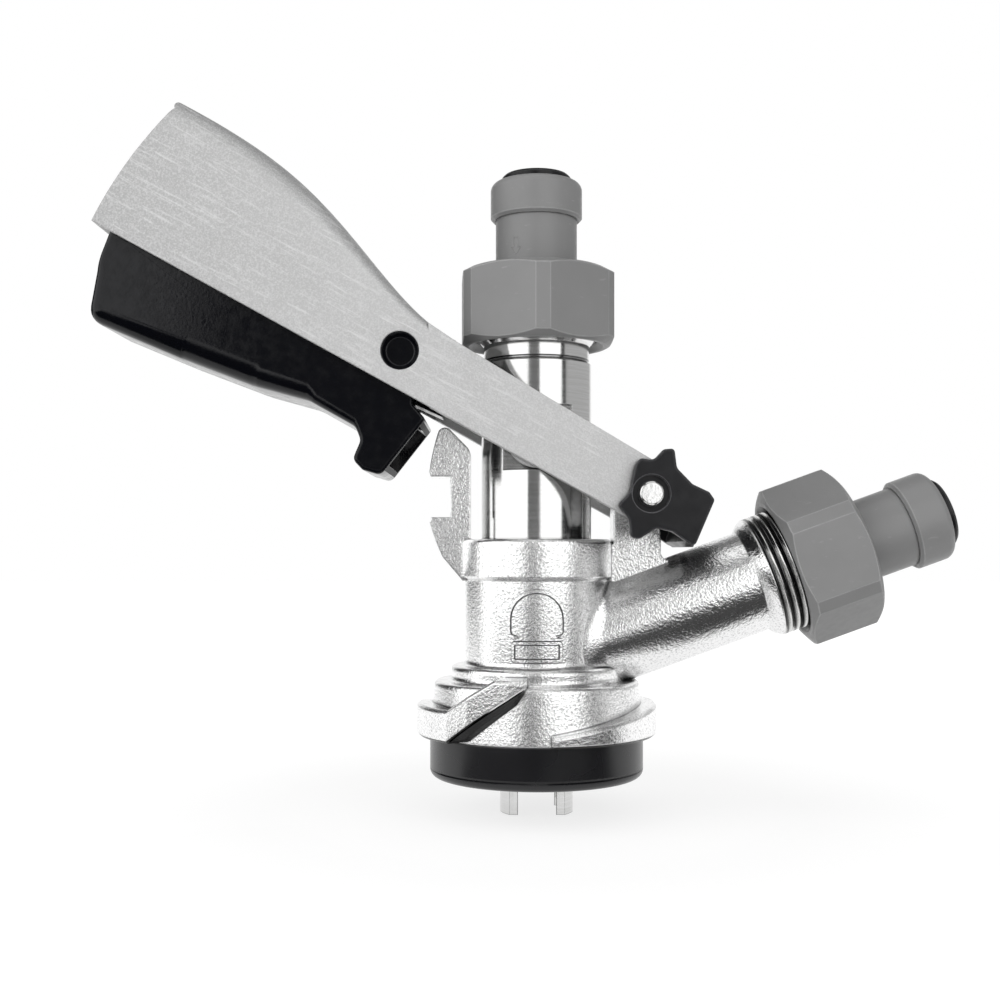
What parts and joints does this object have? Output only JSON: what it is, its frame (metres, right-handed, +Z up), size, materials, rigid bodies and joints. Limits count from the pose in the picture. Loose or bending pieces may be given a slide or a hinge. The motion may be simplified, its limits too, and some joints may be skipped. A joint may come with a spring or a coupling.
{
  "type": "keg coupler",
  "caption": "Sliding bayonet keg coupler: cast body with gas branch, lever-driven probe with a latching trigger, and push-in tube fittings for beer and gas.",
  "frame": {"origin": "centre of the keg seal's lower face, where the coupler meets the keg", "axes": "+Z up the probe towards the beer outlet, +X towards the gas branch, -X towards the handle"},
  "size_m": [0.1848, 0.0516, 0.1495],
  "materials": {
    "plated_casting": "nickel plate over a blasted casting",
    "turned_steel": "turned and polished",
    "spring_steel": "drawn wire",
    "silver_paint": "silver paint over a light alloy casting, fine grain",
    "grey_plastic": "satin moulding",
    "black_plastic": "satin moulding",
    "white_plastic": "smooth moulding",
    "clip_plastic": "charcoal moulding",
    "trigger_plastic": "glossy moulding",
    "seal_rubber": "smooth rubber",
    "washer_rubber": "smooth rubber",
    "ring_rubber": "smooth rubber"
  },
  "bodies": {
    "coupler": {"coupler_body": "plated_casting", "keg_seal": "seal_rubber", "gas_check_valve": "seal_rubber", "gas_washer": "washer_rubber", "gas_adapter": "grey_plastic", "gas_union_nut": "grey_plastic", "gas_end_cap": "grey_plastic", "gas_tube_o_ring": "ring_rubber"},
    "gas_release": {"gas_collet": "black_plastic"},
    "probe_assembly": {"probe": "turned_steel", "beer_seal": "seal_rubber", "probe_o_ring_lower": "ring_rubber", "probe_o_ring_upper": "ring_rubber", "ball_cage": "white_plastic", "beer_washer": "washer_rubber", "beer_adapter": "grey_plastic", "beer_union_nut": "grey_plastic", "beer_end_cap": "grey_plastic", "beer_tube_o_ring": "ring_rubber"},
    "beer_release": {"beer_collet": "black_plastic"},
    "ball": {"check_ball": "white_plastic"},
    "lever_assembly": {"lever": "silver_paint", "pivot_pin": "turned_steel", "pivot_clip": "clip_plastic"},
    "trigger_assembly": {"trigger": "trigger_plastic", "trigger_spring": "spring_steel"}
  },
  "joints": [
    {"name": "lever_pivot", "type": "hinge", "parent": "coupler", "child": "lever_assembly", "pos_m": [0.0229, 0, 0.0602], "axis": [0, -1, 0], "range_deg": [0, 26.5]},
    {"name": "probe_slide", "type": "slide", "parent": "coupler", "child": "probe_assembly", "axis": [0, 0, -1], "range_m": [0, 0.0115]},
    {"name": "trigger_squeeze", "type": "hinge", "parent": "lever_assembly", "child": "trigger_assembly", "pos_m": [-0.0285, 0, 0.0897], "axis": [0, 1, 0], "range_deg": [-9, 4], "stiffness_Nm_per_rad": 0.25, "deforming": ["trigger_spring"]},
    {"name": "beer_collet_press", "type": "slide", "parent": "probe_assembly", "child": "beer_release", "axis": [0, 0, -1], "range_m": [0, 0.0013]},
    {"name": "gas_collet_press", "type": "slide", "parent": "coupler", "child": "gas_release", "axis": [-0.9397, 0, -0.342], "range_m": [0, 0.0013]},
    {"name": "ball_lift", "type": "slide", "parent": "probe_assembly", "child": "ball", "axis": [0, 0, 1], "range_m": [0, 0.003]}
  ],
  "couplings": [
    {"joint": "probe_slide", "follows": "lever_pivot", "m_per_rad": 0.02484}
  ]
}
